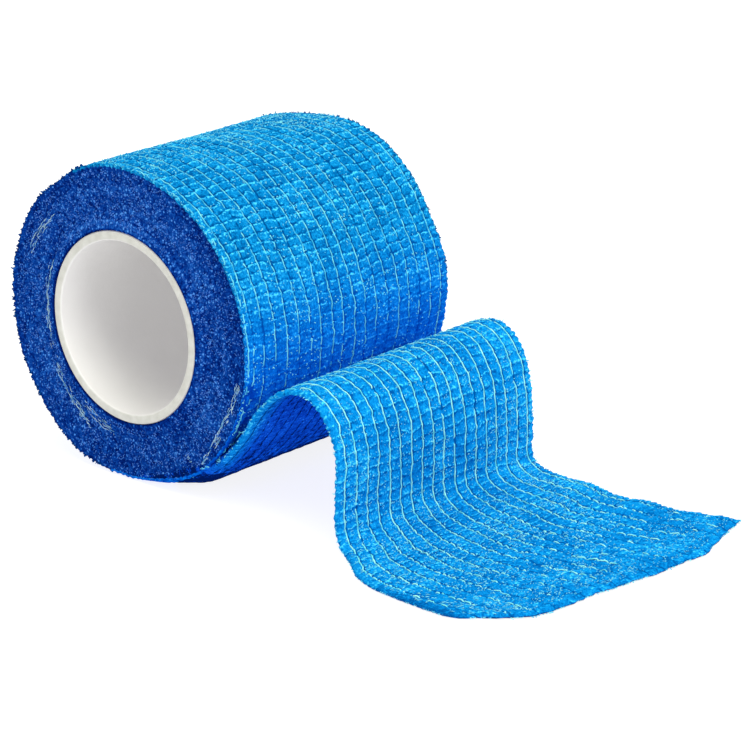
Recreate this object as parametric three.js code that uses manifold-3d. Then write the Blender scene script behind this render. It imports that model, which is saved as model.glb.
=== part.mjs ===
// A roll of crinkled cohesive bandage, wound on a short core tube. Its last turn has come loose:
// it peels off low on one side of the roll, arches over and lies flat, drawn out towards one edge.
//
// Millimetres. +Z is up, +Y runs along the core and +X the way the loose end runs. The origin is
// on the surface that the roll rests on, right under the core's axis and midway along it.

import * as THREE from 'three';
import { mergeVertices } from 'three/addons/utils/BufferGeometryUtils.js';
import Module from 'manifold-3d';

// Driving dimensions
const BANDAGE_WIDTH = 50;
const ROLL_RADIUS = 27.5;
const AXIS_HEIGHT = 27.3;
const SHEET_THICKNESS = 1.2;
const CORE_OUTER_RADIUS = 16.7;
const CORE_WALL = 1.7;
const CORE_STANDOUT = 0.8;
const CORE_CHAMFER = 0.3;
const FIT_GAP = 0.3;

// How finely the forms are cut
const ROLL_SIDES = 72;
const WIDTH_STEPS = 16;
const SHEET_STEP = 1.7;

// Middle line and thickness of the last turn and its loose end, seen along the core. The first
// rows are fused into the roll; from the crevice on, the sheet is free.
const LAST_TURN = [
  { x: -4.0, z: 2.2, thick: 1.4, place: 'inside the roll' },
  { x: 1.0, z: 1.5, thick: 1.8, place: 'inside the roll' },
  { x: 6.0, z: 1.05, thick: 2.1, place: 'on the surface' },
  { x: 11.5, z: 1.6, thick: 2.1, place: 'under the roll' },
  { x: 14.5, z: 3.2, thick: 2.1, place: 'under the roll' },
  { x: 17.3, z: 5.1, thick: 2.0, place: 'under the roll' },
  { x: 20.2, z: 7.2, thick: 1.4, place: 'crevice' },
  { x: 25.7, z: 13.4, thick: SHEET_THICKNESS, place: 'rising side' },
  { x: 29.9, z: 19.2, thick: SHEET_THICKNESS, place: 'shoulder' },
  { x: 34.2, z: 22.8, thick: SHEET_THICKNESS, place: 'shoulder' },
  { x: 39.3, z: 24.2, thick: SHEET_THICKNESS, place: 'crest' },
  { x: 43.3, z: 23.2, thick: SHEET_THICKNESS, place: 'shoulder' },
  { x: 45.9, z: 20.2, thick: SHEET_THICKNESS, place: 'shoulder' },
  { x: 46.9, z: 15.5, thick: SHEET_THICKNESS, place: 'falling side' },
  { x: 46.9, z: 8.5, thick: SHEET_THICKNESS, place: 'falling side' },
  { x: 47.0, z: 4.6, thick: SHEET_THICKNESS, place: 'foot' },
  { x: 47.8, z: 2.0, thick: SHEET_THICKNESS, place: 'foot' },
  { x: 50.0, z: 0.75, thick: SHEET_THICKNESS, place: 'foot' },
  { x: 53.0, z: 0.6, thick: SHEET_THICKNESS, place: 'flat' },
  { x: 92.0, z: 0.6, thick: SHEET_THICKNESS, place: 'cut edge' },
];

// The two long edges where the loose end lies flat: the near one is drawn outwards
const FLAT_EDGES = [
  { x: 47.0, near: -25.0, far: 25.0 },
  { x: 49.5, near: -26.4, far: 24.2 },
  { x: 53.0, near: -29.3, far: 23.4 },
  { x: 57.5, near: -32.2, far: 23.2 },
  { x: 62.5, near: -33.8, far: 22.9 },
  { x: 69.0, near: -34.2, far: 22.1 },
  { x: 75.0, near: -33.9, far: 22.7 },
  { x: 82.0, near: -33.4, far: 23.6 },
  { x: 92.0, near: -33.2, far: 25.6 },
];

// The cut edge, from the near corner, which is rounded off, to the far one
const CUT_EDGE = [
  { across: 0.0, x: 78.2 },
  { across: 0.05, x: 82.3 },
  { across: 0.1, x: 85.7 },
  { across: 0.17, x: 88.3 },
  { across: 0.34, x: 89.4 },
  { across: 0.5, x: 90.7 },
  { across: 0.67, x: 91.8 },
  { across: 0.76, x: 92.4 },
  { across: 0.9, x: 90.9 },
  { across: 1.0, x: 90.0 },
];

// Below this height the loose end turns out of its fall and starts to spread
const SPREAD_TOP = 9;
const SPREAD_FULL = 1.5;

// Shallow hollows in the roll's outside, each deepest at one end of the roll. Angles are in
// degrees from straight down, turning first towards the loose end.
const ROLL_HOLLOWS = [
  { angle: 172, end: 1, depth: 1.1 },
  { angle: 232, end: -1, depth: 0.5 },
];

// The far edge curls up a little where the loose end lies flat
const EDGE_CURL = { x: 72, reach: 7, width: 6, height: 1.0 };

const { lerp, smoothstep, clamp, degToRad } = THREE.MathUtils;
const solids = await Module();
solids.setup();

function toSolid(geometry) {
  const bare = geometry.clone();
  bare.deleteAttribute('normal');
  bare.deleteAttribute('uv');
  const merged = mergeVertices(bare);
  return new solids.Manifold(new solids.Mesh({
    numProp: 3,
    vertProperties: new Float32Array(merged.getAttribute('position').array),
    triVerts: new Uint32Array(merged.index.array),
  }));
}

function toGeometry(solid) {
  const { vertProperties, triVerts } = solid.getMesh();
  const geometry = new THREE.BufferGeometry();
  geometry.setAttribute('position', new THREE.BufferAttribute(vertProperties, 3));
  geometry.setIndex(new THREE.BufferAttribute(triVerts, 1));
  geometry.computeVertexNormals();
  return geometry;
}

function movePoints(geometry, move) {
  const positions = geometry.getAttribute('position');
  const point = new THREE.Vector3();
  for (let i = 0; i < positions.count; i += 1) {
    point.fromBufferAttribute(positions, i);
    move(point);
    positions.setXYZ(i, point.x, point.y, point.z);
  }
}

// Value of one column of a table at a place between its rows
function readTable(rows, keyColumn, valueColumn, key) {
  const last = rows.length - 1;
  if (key <= rows[0][keyColumn]) return rows[0][valueColumn];
  if (key >= rows[last][keyColumn]) return rows[last][valueColumn];
  const next = rows.findIndex((row) => row[keyColumn] >= key);
  const [low, high] = [rows[next - 1], rows[next]];
  const share = (key - low[keyColumn]) / (high[keyColumn] - low[keyColumn]);
  return lerp(low[valueColumn], high[valueColumn], share);
}

// A ring round the core's axis, cut into steps along its outside
function ring(innerRadius, outerRadius, length, outsideSteps) {
  const outside = Array.from({ length: outsideSteps + 1 }, (_, i) =>
    new THREE.Vector2(outerRadius, length * (i / outsideSteps - 0.5)));
  const inside = [length / 2, -length / 2].map((along) => new THREE.Vector2(innerRadius, along));
  return new THREE.LatheGeometry([...outside, ...inside, outside[0]], ROLL_SIDES);
}

// How far a point on the roll's outside is drawn in
function hollowDepth(x, y, z) {
  const angle = Math.atan2(x, -z);
  return ROLL_HOLLOWS.reduce((depth, hollow) => {
    const round = Math.max(0, Math.cos(angle - degToRad(hollow.angle))) ** 4;
    const along = clamp(0.5 + (hollow.end * y) / BANDAGE_WIDTH, 0, 1) ** 2;
    return depth + hollow.depth * round * along;
  }, 0);
}

// The tight turns, with a narrow flat spot where they rest
function woundTurns() {
  const geometry = ring(CORE_OUTER_RADIUS + FIT_GAP, ROLL_RADIUS, BANDAGE_WIDTH, WIDTH_STEPS);
  movePoints(geometry, (point) => {
    const reach = Math.hypot(point.x, point.z);
    const isOutside = reach > (ROLL_RADIUS + CORE_OUTER_RADIUS) / 2;
    const share = isOutside ? 1 - hollowDepth(point.x, point.y, point.z) / reach : 1;
    point.x *= share;
    point.z = Math.max(0, AXIS_HEIGHT + point.z * share);
  });
  return geometry;
}

// Where the loose end lies flat it spreads towards the near side, and its corner is rounded off
function spreadAndCut(point) {
  const flatStart = FLAT_EDGES[0].x;
  if (point.x < flatStart || point.z > SPREAD_TOP) return;
  const across = 0.5 + point.y / BANDAGE_WIDTH;
  const length = LAST_TURN.at(-1).x - flatStart;
  const cut = readTable(CUT_EDGE, 'across', 'x', across) - flatStart;
  point.x = flatStart + ((point.x - flatStart) * cut) / length;
  const near = readTable(FLAT_EDGES, 'x', 'near', point.x);
  const far = readTable(FLAT_EDGES, 'x', 'far', point.x);
  const low = 1 - smoothstep(point.z, SPREAD_FULL, SPREAD_TOP);
  const curlAlong = 1 - smoothstep(Math.abs(point.x - EDGE_CURL.x), 0, EDGE_CURL.reach);
  const curlAcross = 1 - smoothstep(BANDAGE_WIDTH / 2 - point.y, 0, EDGE_CURL.width);
  point.y = lerp(point.y, lerp(near, far, across), low);
  point.z += EDGE_CURL.height * curlAlong * curlAcross;
}

// The last turn: a flat strip bent along its middle line. The line's y value carries the
// strip's thickness, so that it changes as smoothly as the line does.
function lastTurn() {
  const line = new THREE.CatmullRomCurve3(
    LAST_TURN.map(({ x, z, thick }) => new THREE.Vector3(x, thick, z)),
  );
  const length = line.getLength();
  const steps = Math.round(length / SHEET_STEP);
  line.arcLengthDivisions = 4 * steps;
  const geometry = new THREE.BoxGeometry(length, BANDAGE_WIDTH, 1, steps, WIDTH_STEPS, 1);
  movePoints(geometry, (point) => {
    const share = clamp(point.x / length + 0.5, 0, 1);
    const middle = line.getPointAt(share);
    const along = line.getTangentAt(share).setY(0).normalize();
    const off = point.z * middle.y;
    point.x = middle.x - along.z * off;
    point.z = Math.max(0, middle.z + along.x * off);
    spreadAndCut(point);
  });
  return geometry;
}

function namedMesh(name, geometry, color, roughness) {
  const material = new THREE.MeshStandardMaterial({ color, roughness, metalness: 0 });
  const mesh = new THREE.Mesh(geometry, material);
  mesh.name = name;
  return mesh;
}

// The wound cloth and its loose end, one continuous strip
function bandage() {
  const cloth = toSolid(woundTurns()).add(toSolid(lastTurn()));
  return namedMesh('bandage', toGeometry(cloth), 0x0b6fe0, 0.85);
}

// The tube that the strip is wound on: it stands a little proud of the cloth at both ends
function core() {
  const inner = CORE_OUTER_RADIUS - CORE_WALL;
  const outer = CORE_OUTER_RADIUS;
  const end = BANDAGE_WIDTH / 2 + CORE_STANDOUT;
  const profile = [
    [inner, -end + CORE_CHAMFER],
    [inner + CORE_CHAMFER, -end],
    [outer - CORE_CHAMFER, -end],
    [outer, -end + CORE_CHAMFER],
    [outer, end - CORE_CHAMFER],
    [outer - CORE_CHAMFER, end],
    [inner + CORE_CHAMFER, end],
    [inner, end - CORE_CHAMFER],
    [inner, -end + CORE_CHAMFER],
  ].map(([radius, along]) => new THREE.Vector2(radius, along));
  const mesh = namedMesh('core', new THREE.LatheGeometry(profile, ROLL_SIDES), 0xf4f3ef, 0.55);
  mesh.position.z = AXIS_HEIGHT;
  return mesh;
}

const roll = new THREE.Group();
roll.add(core(), bandage());

export default roll;
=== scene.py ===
"""A roll of crinkled cohesive bandage on its core tube, with the last turn pulled loose.

Sizes are in millimetres until a mesh is made. Round the roll, angles are in degrees from
straight down, turning first towards the side where the loose end leaves. On the cloth, s or arc
is a distance along the strip, and v is a place across it, from the near edge to the far one.
"""
import math

import bpy
import numpy as np
from mathutils import Matrix, Vector


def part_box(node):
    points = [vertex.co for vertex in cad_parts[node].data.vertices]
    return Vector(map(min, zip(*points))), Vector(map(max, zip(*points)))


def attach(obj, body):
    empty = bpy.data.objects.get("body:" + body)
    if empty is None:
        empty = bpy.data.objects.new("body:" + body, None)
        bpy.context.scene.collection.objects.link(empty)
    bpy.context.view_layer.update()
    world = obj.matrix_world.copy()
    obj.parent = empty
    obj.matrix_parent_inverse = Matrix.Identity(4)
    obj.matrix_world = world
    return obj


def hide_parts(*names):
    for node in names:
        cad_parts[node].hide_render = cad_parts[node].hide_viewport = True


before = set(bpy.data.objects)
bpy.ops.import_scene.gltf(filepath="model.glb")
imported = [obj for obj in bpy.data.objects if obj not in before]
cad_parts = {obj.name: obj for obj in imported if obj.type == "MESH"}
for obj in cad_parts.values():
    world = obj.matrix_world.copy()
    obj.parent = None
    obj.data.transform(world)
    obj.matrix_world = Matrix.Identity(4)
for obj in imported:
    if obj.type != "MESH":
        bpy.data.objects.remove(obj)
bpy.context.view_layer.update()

MM = 0.001

# Small sizes of the core
CORE_STANDOUT = 0.8
CORE_WALL = 1.7
GAP_TO_CORE = 0.08

# Sizes that follow from the frame
core_low, core_high = (np.array(corner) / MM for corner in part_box("core"))
cloth_low, _ = (np.array(corner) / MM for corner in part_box("bandage"))
AXIS_HEIGHT = (core_low[2] + core_high[2]) / 2
CORE_RADIUS = (core_high[2] - core_low[2]) / 2
CORE_END = core_high[1]
HALF_WIDTH = CORE_END - CORE_STANDOUT
ROLL_RADIUS = -cloth_low[0]
TURN_LENGTH = 2 * math.pi * ROLL_RADIUS
WOUND_INSIDE = CORE_RADIUS + GAP_TO_CORE

# The cloth: elastic threads run along it, and the crinkles run across
CLOTH_THICKNESS = 0.75
THREAD_COUNT = 18
THREAD_PITCH = 2.74
FIRST_THREAD = -THREAD_PITCH * (THREAD_COUNT - 1) / 2
CRINKLE_PITCH = 1.8

# How finely the cloth is cut, along it and across
GRID = 0.38
GRID_ACROSS = 1.2 * GRID
ACROSS_COUNT = round(2 * HALF_WIDTH / GRID_ACROSS) + 1
ACROSS = np.linspace(-HALF_WIDTH, HALF_WIDTH, ACROSS_COUNT)[None, :]


class Seed:
    """Whole numbers that keep the patterns apart. Some functions also use the few after theirs."""
    PEBBLES = 31
    FINE_PEBBLES = 32
    TIP_ROWS = 33
    RIM_TEETH = 47
    WISP_KINKS = 50
    EDGE_TEETH = 51
    EDGE_RAGS = 52
    RIM_RAGS = 58
    ENDS = 60
    RIM_SHADOWS = 61
    CUT_RAGS = 71
    CUT_BENDS = 72
    RIM_KINKS = 77
    THREAD_TIPS = 82
    THREAD_GAPS = 83
    THICKNESS = 84
    KINKS = 85
    FLECK_PATCHES = 88
    ROLL_GAPS = 93
    ROLL_STRETCHES = 94
    ROLL_THICKNESS = 95
    RIM_GAPS = 96
    WISP_LIFT = 97
    LOOSE_THREADS = 100
    LOOSE_DIPS = 200
    ROLL_THREADS = 300
    ROLL_DIPS = 400


# Each cloth's own seed, and the length after which its patterns meet themselves
LOOSE_CLOTH = (0, None)
ROLL_CLOTH = (40, TURN_LENGTH)


# Repeatable noise

# Large numbers that scramble whole numbers, and masks that keep the lowest bits
MIX_I, MIX_J, MIX_SEED, MIX_AGAIN = 374761393, 668265263, 974634777, 1274126177
BITS_32, BITS_24 = 0xFFFFFFFF, 0xFFFFFF

# A patch size so large that noise hardly changes across the cloth
WIDE = 60


def lattice(i, j, seed):
    """One number from 0 to 1 for each pair of whole numbers."""
    mix = (i * MIX_I + j * MIX_J + seed * MIX_SEED) & BITS_32
    mix = ((mix ^ (mix >> 13)) * MIX_AGAIN) & BITS_32
    return ((mix ^ (mix >> 16)) & BITS_24) / BITS_24


def ease(value, start, end):
    """0 at the start and 1 at the end, with a soft rise between. Either may be the larger."""
    share = np.clip((value - start) / (end - start), 0, 1)
    return share * share * (3 - 2 * share)


def noise(u, v, size_u, size_v, seed, around=None):
    """Smooth noise from -1 to 1, in patches of the given sizes. With around, it meets itself
    again after that length of u."""
    u, v = np.broadcast_arrays(np.asarray(u, float), np.asarray(v, float))
    cells = round(around / size_u) if around else 0
    a = u / around * cells if around else u / size_u
    b = v / size_v
    i, j = np.floor(a).astype(np.int64), np.floor(b).astype(np.int64)
    share_a, share_b = ease(a - i, 0, 1), ease(b - j, 0, 1)

    def corner(di, dj):
        return lattice((i + di) % cells if cells else i + di, j + dj, seed)

    low = corner(0, 0) * (1 - share_a) + corner(1, 0) * share_a
    high = corner(0, 1) * (1 - share_a) + corner(1, 1) * share_a
    return 2 * (low * (1 - share_b) + high * share_b) - 1


def roll_noise(arc, v, size_arc, size_v, seed):
    """Noise that meets itself round the roll."""
    return noise(arc, v, size_arc, size_v, seed, TURN_LENGTH)


def line_noise(s, line, size, seed):
    """Noise along a line. Lines with other numbers have other noise."""
    return noise(s, line, size, 1, seed)


def kinked(s, pitch, line):
    """Noise from -1 to 1 along a line, with a sharp turn at every step of the pitch."""
    step = np.floor(s / pitch).astype(np.int64)
    share = s / pitch - step
    before, after = lattice(step, line, Seed.KINKS), lattice(step + 1, line, Seed.KINKS)
    return 2 * (before * (1 - share) + after * share) - 1


# Places across the strip

def from_edge(v):
    """Distance in from the nearer edge."""
    return HALF_WIDTH - np.abs(v)


def from_near(v):
    """Distance in from the near edge."""
    return v + HALF_WIDTH


def edge_share(v, width):
    """1 at both edges, fading to 0 at a width in from them."""
    return 1 - ease(from_edge(v), 0, width)


def across_share(v):
    """From 0 at the near edge to 1 at the far one."""
    return 0.5 + v / (2 * HALF_WIDTH)


# The crinkled surface

def row_count(s, v, seed, around=None):
    """How many crinkles come before a place: a whole number on each one's crest."""
    count = round(around / CRINKLE_PITCH) if around else 0
    phase = s / around * count if around else s / CRINKLE_PITCH
    bends = 0.40 * noise(s, v, 11, 9, seed + 1, around)
    wobbles = 0.24 * noise(s, v, 2.6, 2.2, seed + 2, around)
    return phase + bends + wobbles


def thread_stray(k, s, seed):
    """How far thread k strays from its straight line. It turns a little at every crinkle."""
    return 0.19 * kinked(s, CRINKLE_PITCH, seed + k) + 0.14 * line_noise(s, 7.3 * k, 9, seed + 1)


def straight_columns(v):
    """How many threads come before a place, if they were straight."""
    return (v - FIRST_THREAD) / THREAD_PITCH


def column_count(s, v, seed):
    """How many threads come before a place: a whole number on each thread."""
    column = straight_columns(v)
    before = np.floor(column).astype(np.int64)
    share = column - before
    stray = thread_stray(before, s, seed) * (1 - share) + thread_stray(before + 1, s, seed) * share
    return column - stray / THREAD_PITCH


def crinkle(s, v, seed, around=None):
    """The cloth's relief, about 0 in a hollow and 1 on a crest."""
    puff = np.abs(np.sin(math.pi * straight_columns(v))) ** 0.5
    ridge = (0.5 + 0.5 * np.cos(2 * math.pi * row_count(s, v, seed, around))) ** 1.4
    patch = 1 + 0.30 * noise(s, v, 3, 2.4, seed + 3, around)
    folds = 0.16 * noise(s, v, 0.9, 1.6, seed + 4, around)
    return np.clip(puff * (0.25 + 0.75 * ridge) * patch + folds, -0.1, 1.4)


def grain(s, v, seed, around=None):
    """Fine roughness of the cloth, from -1 to 1."""
    coarse = noise(s, v, 1.1, 0.9, seed + 11, around)
    fine = noise(s, v, 0.55, 0.6, seed + 12, around)
    return 0.5 * coarse + 0.5 * fine


# Places on the roll

def arc_at(degrees):
    return np.radians(degrees) * ROLL_RADIUS


def degrees_at(arc):
    return np.degrees(arc / ROLL_RADIUS)


def round_axis(radius, degrees):
    """x and z at an angle round the roll."""
    angle = np.radians(degrees)
    return radius * np.sin(angle), AXIS_HEIGHT - radius * np.cos(angle)


def round_points(radius, y, degrees):
    """Points at a radius and an angle round the roll, y along its axis."""
    x, z = round_axis(radius, degrees)
    return np.stack(np.broadcast_arrays(x, y, z), -1)


def lobe(degrees, centre, narrow):
    """1 at the centre's angle, fading to 0 on both sides."""
    return np.maximum(0, np.cos(np.radians(degrees - centre))) ** narrow


# Hollows and swells in the roll's outside, each strongest at one end: the angle of its middle,
# the end it is at, its depth there, and how narrow it is
ROLL_HOLLOWS = (
    (187, 1, 1.1, 18), (120, 1, 0.4, 60), (100, 1, -0.45, 30), (150, 1, -0.16, 50),
    (213, 1, -0.6, 90), (214, -1, 0.5, 60), (198, -1, -0.25, 20), (328, -1, -0.42, 60),
    (349, -1, 0.35, 60),
)


def hollow_depth(degrees, v):
    """How far the roll's outside is drawn in."""
    depth = 0
    for centre, end, most, narrow in ROLL_HOLLOWS:
        along = np.clip(across_share(end * v), 0, 1) ** 2
        depth = depth + most * lobe(degrees, centre, narrow) * along
    return depth


# Relief of the roll's outside, and the teeth at its rims
ROLL_CRINKLE_HEIGHT = 0.26
ROLL_GRAIN_HEIGHT = 0.09
RIM_TOOTH_HEIGHT = 0.30
RIM_TOOTH_LENGTH = 1.2


def roll_face(degrees, v):
    """Radius of the roll's outside, and its tone. Its rims are drawn in where it rests."""
    arc = arc_at(degrees)
    rough = grain(arc, v, *ROLL_CLOTH)
    rim = edge_share(v, 1.0)
    relief = crinkle(arc, v, *ROLL_CLOTH) * (1 - rim)
    uneven = 2 * roll_noise(arc, v, 7, WIDE, Seed.RIM_TEETH)
    teeth = np.abs(np.sin(math.pi * arc / RIM_TOOTH_LENGTH + uneven)) - 0.5
    radius = ROLL_RADIUS - 0.02 + ROLL_CRINKLE_HEIGHT * relief + ROLL_GRAIN_HEIGHT * rough
    radius = radius + rim * (RIM_TOOTH_HEIGHT * teeth + 0.05) - hollow_depth(degrees, v)
    radius = radius - lobe(degrees, 12, 20) * edge_share(v, 2.2)
    return radius, 0.5 + 0.25 * rough


def roll_place(arc, v, lift):
    """A point on the roll's outside, arc round it and v along it."""
    degrees = degrees_at(arc)
    radius, _ = roll_face(degrees, v)
    return round_points(radius + lift, v, degrees)


# Spacing of the fine rings at the ends, and of the coarser arcs by the core
TURN_SPACING = 0.66
ARC_SPACING = 1.2


def near_core(r, reach, full=0):
    """1 up to a full distance out from the core, fading to 0 at the reach."""
    return ease(r, WOUND_INSIDE + reach, WOUND_INSIDE + full)


def end_face(r, degrees, seed):
    """How far the wound edges stand out past the strip's width at an end, and their tone. Round
    the core they stand up in a lip."""
    arc = arc_at(degrees)
    ring = np.cos(2 * math.pi * ((r - TURN_SPACING / 2 * degrees / 360) / TURN_SPACING))
    coarse, fine = roll_noise(arc, r, 0.9, 0.6, seed), roll_noise(arc, r, 0.45, 0.38, seed + 3)
    lumps = 0.55 * coarse + 0.45 * fine
    waves = roll_noise(arc, r, 22, 2.6, seed + 5)
    lip = near_core(r, 3.5)
    height = (0.28 * lumps + 0.06 * ring + 0.20 * waves - 0.1) * (1 - lip) + lip * CORE_STANDOUT
    streaks = np.maximum(roll_noise(arc, r, 14, 0.9, seed + 7) - 0.1, 0) * near_core(r, 8, 4)
    arcs = np.cos(2 * math.pi * (r - ARC_SPACING / 2 * degrees / 360 + 0.15 * waves) / ARC_SPACING)
    tone = 0.5 + 0.42 * lumps + 0.15 * waves + 0.35 * streaks
    # A shadow is painted at the foot of the lip round the core, and light is painted towards the
    # bottom of the end
    tone = tone + 0.18 * arcs * near_core(r, 4.5, 1.5) - 0.6 * near_core(r, 0.5)
    return height, tone + 0.20 * ease(np.cos(np.radians(degrees)), 0.2, 0.9)


# The loose end's middle line starts inside the roll's outer turns: angle and radius
HIDDEN_START = ((-42, ROLL_RADIUS - 1.1), (-30, ROLL_RADIUS - 1.0), (-18, ROLL_RADIUS - 0.8))
# Low on the roll another turn still clings to it: x, z and thickness
CLINGING = (
    (0.0, 0.50, 0.8), (6.0, 0.60, 1.0), (9.3, 0.85, 1.5), (11.9, 1.65, 1.9), (14.8, 3.25, 1.9),
    (17.6, 5.15, 1.7), (20.3, 7.30, 1.3),
)
# From there on it is free, arches over and lies flat: x and z
FREE = (
    (25.7, 13.4), (29.9, 19.3), (34.2, 23.1), (39.2, 24.6), (42.8, 23.2), (45.2, 20.2),
    (46.7, 15.5), (47.0, 8.5), (47.0, 4.6), (47.8, 2.0), (50.0, 0.75), (53.0, 0.48),
    (57.0, 0.46), (62.0, 0.45), (72.0, 0.45), (82.0, 0.45), (92.0, 0.45),
)
FLAT_START = 47.0
FLAT_END = FREE[-1][0]

# Where the loose end lies flat: x, near edge and far edge
flat_x, near_edge, far_edge = np.array([
    (47.0, -25.0, 24.6), (49.5, -26.1, 24.2), (53.0, -28.4, 23.8), (57.5, -31.9, 23.7),
    (60.3, -33.1, 24.1), (62.5, -33.8, 23.8), (66.0, -34.2, 22.6), (70.0, -34.5, 22.4),
    (73.5, -34.6, 23.7), (76.0, -34.6, 23.7), (80.0, -34.4, 24.1), (82.5, -34.2, 25.5),
    (84.5, -34.0, 25.6), (86.0, -34.0, 26.7), (92.0, -34.0, 27.5),
]).T
# The cut edge: share of the width from the near corner, and x
cut_across, cut_x = np.array([
    (0.0, 78.8), (0.02, 81.1), (0.05, 83.2), (0.07, 85.3), (0.10, 87.0), (0.13, 88.6),
    (0.17, 89.5), (0.22, 89.7), (0.34, 90.2), (0.42, 91.2), (0.5, 91.8), (0.58, 92.6),
    (0.67, 92.9), (0.745, 93.4), (0.8, 92.5), (0.9, 90.8), (1.0, 89.4),
]).T
# It starts to spread at the top height, and is spread in full at the lower one
SPREAD_TOP = 9.0
SPREAD_FULL = 1.5

LINE_STEP = 0.25
ROUNDING_STEPS = 9


def curve_through(knots, step):
    """Places a step apart on a smooth curve through the knots."""
    places = []
    for k in range(len(knots) - 1):
        before, start = knots[max(k - 1, 0)], knots[k]
        end, after = knots[k + 1], knots[min(k + 2, len(knots) - 1)]
        chord = np.linalg.norm(end - start)
        leave = (end - before) * chord / (chord + np.linalg.norm(start - before))
        reach = (after - start) * chord / (chord + np.linalg.norm(after - end))
        t = np.arange(0, 1, step / chord)[:, None]
        places.append((2 * t**3 - 3 * t**2 + 1) * start + (t**3 - 2 * t**2 + t) * leave
                      + (3 * t**2 - 2 * t**3) * end + (t**3 - t**2) * reach)
    return np.vstack(places + [knots[-1:]])


def middle_line():
    """Distances along the middle line, and x, z and thickness at each. Its bends are eased."""
    hidden = [(*round_axis(radius, degrees), CLOTH_THICKNESS) for degrees, radius in HIDDEN_START]
    free = [(x, z, CLOTH_THICKNESS) for x, z in FREE]
    places = curve_through(np.array([*hidden, *CLINGING, *free]), LINE_STEP)
    window = np.hanning(ROUNDING_STEPS)
    window /= window.sum()
    half = ROUNDING_STEPS // 2
    padded = np.vstack([places[:1]] * half + [places] + [places[-1:]] * half)
    rounded = np.stack([np.convolve(padded[:, axis], window, "valid") for axis in range(3)], 1)
    steps = np.linalg.norm(np.diff(rounded[:, :2], axis=0), axis=1)
    return np.concatenate([[0], np.cumsum(steps)]), rounded


line_s, line_rows = middle_line()
line_x, line_z, line_thickness = line_rows.T
slope_x, slope_z = np.gradient(line_rows[:, :2], line_s, axis=0).T
LINE_LENGTH = line_s[-1]


def first_past(x):
    """s where the middle line first passes x."""
    return line_s[np.argmax(line_x > x)]


def on_line(s, values):
    """Value at s, from values at the middle line's places."""
    return np.interp(s, line_s, values)


FREE_START = first_past(20)
FOOT = first_past(50)
TIP_START = first_past(FLAT_END - 20)


# Places on the loose end

def cut_share(v):
    """How much of the flat part's length is left at v, so that it ends at the cut edge."""
    cut = np.interp(across_share(v), cut_across, cut_x)
    return (cut - FLAT_START) / (FLAT_END - FLAT_START)


def lift_edges(x, y, z, v):
    """z with the long edges lifted low on the roll, and the far edge curled at one place."""
    under_roll = 1 - ease(x, 14, 22)
    clinging = np.exp(-((x - 12.3) / 7.3) ** 2)
    curl = 1 - ease(np.abs(x - 72), 0, 7)
    z = z + 0.7 * under_roll * edge_share(v, 2.5)
    z = z + 1.7 * clinging * edge_share(v, 7.5)
    return z + 0.3 * curl * ease(y, 17, 23)


def loose_point(s, v, height):
    """Where a point of the loose end is: s along it, v across, height off its middle."""
    s, v, height = np.broadcast_arrays(s, v, height)
    x, z, dx, dz = (on_line(s, values) for values in (line_x, line_z, slope_x, slope_z))
    size = np.hypot(dx, dz)
    flat = (x > FLAT_START) & (z < SPREAD_TOP)
    low = np.where(flat, 1 - ease(z, SPREAD_FULL, SPREAD_TOP), 0)
    x = np.where(flat, FLAT_START + (x - FLAT_START) * cut_share(v), x)
    near, far = np.interp(x, flat_x, near_edge), np.interp(x, flat_x, far_edge)
    tucked = v * (1 - 0.03 * ease(s, 24, 12))
    y = tucked + low * (near + (far - near) * across_share(v) - tucked)
    lean = ease(x, 38, 45) * ease(z, 7, 16) * (1 - low)
    x = x - 0.45 * v / HALF_WIDTH * lean
    z = lift_edges(x, y, z, v)
    return np.stack([x - dz / size * height, y, z + dx / size * height], -1)


def cloth_s(s, v):
    """Distance along the cloth itself, which is shorter where the corner is cut off."""
    flat_s = np.maximum(on_line(s, line_x) - (FLAT_START + 3), 0)
    return s - flat_s * (1 - cut_share(v))


# The loose end's two faces: how far they stand off its middle, and their tone

def inner_shares(s, v):
    """Three shares: 0 at the start, at the cut and at the edges, and each 1 further in."""
    start = ease(s, 0, 10)
    cut = ease(LINE_LENGTH - s, 0, 1.2)
    return start, cut, ease(from_edge(v), 0, 0.9)


def tip_share(s):
    """From 0 to 1 where the crinkles turn to pebbles near the cut."""
    return ease(s, TIP_START - 6, TIP_START + 12)


def pebbles(along, v):
    """Relief of the worn cloth near the cut, about 0 to 1."""
    coarse = noise(along, v, 0.8, 0.9, Seed.PEBBLES)
    fine = noise(along, v, 0.45, 0.5, Seed.FINE_PEBBLES)
    return 0.5 + 0.35 * coarse + 0.35 * fine


def loose_raised(s, v):
    """How far the crinkles and pebbles stand up. Along the near edge a band is pressed flat."""
    along, tip = cloth_s(s, v), tip_share(s)
    relief = crinkle(along, v, *LOOSE_CLOTH) * (1 - 0.8 * tip) + pebbles(along, v) * tip
    band = ease(s, FOOT - 4, FOOT + 8) * (1 - ease(from_near(v), 0.9, 1.9))
    relief = relief * (1 - 0.75 * band) + 0.55 * 0.75 * band
    rough = grain(along, v, *LOOSE_CLOTH)
    start, cut, inside = inner_shares(s, v)
    return (0.30 * relief - 0.08 + 0.08 * rough) * start * (0.25 + 0.75 * inside) * (0.3 + 0.7 * cut)


def loose_thickness(s, v):
    """Thickness without the relief. It thins out at the start, the cut and the long edges."""
    thinnest = 0.18
    start, cut, inside = inner_shares(s, v)
    full = thinnest + (on_line(s, line_thickness) - thinnest) * start * cut
    return full * (0.45 + 0.55 * inside)


def upper_height(s, v):
    return loose_thickness(s, v) / 2 + loose_raised(s, v)


def lower_height(s, v):
    """Less than 0, because it is under the middle. Its relief is fainter."""
    return -(loose_thickness(s, v) / 2 + 0.4 * np.maximum(loose_raised(s, v), -0.1))


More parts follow.
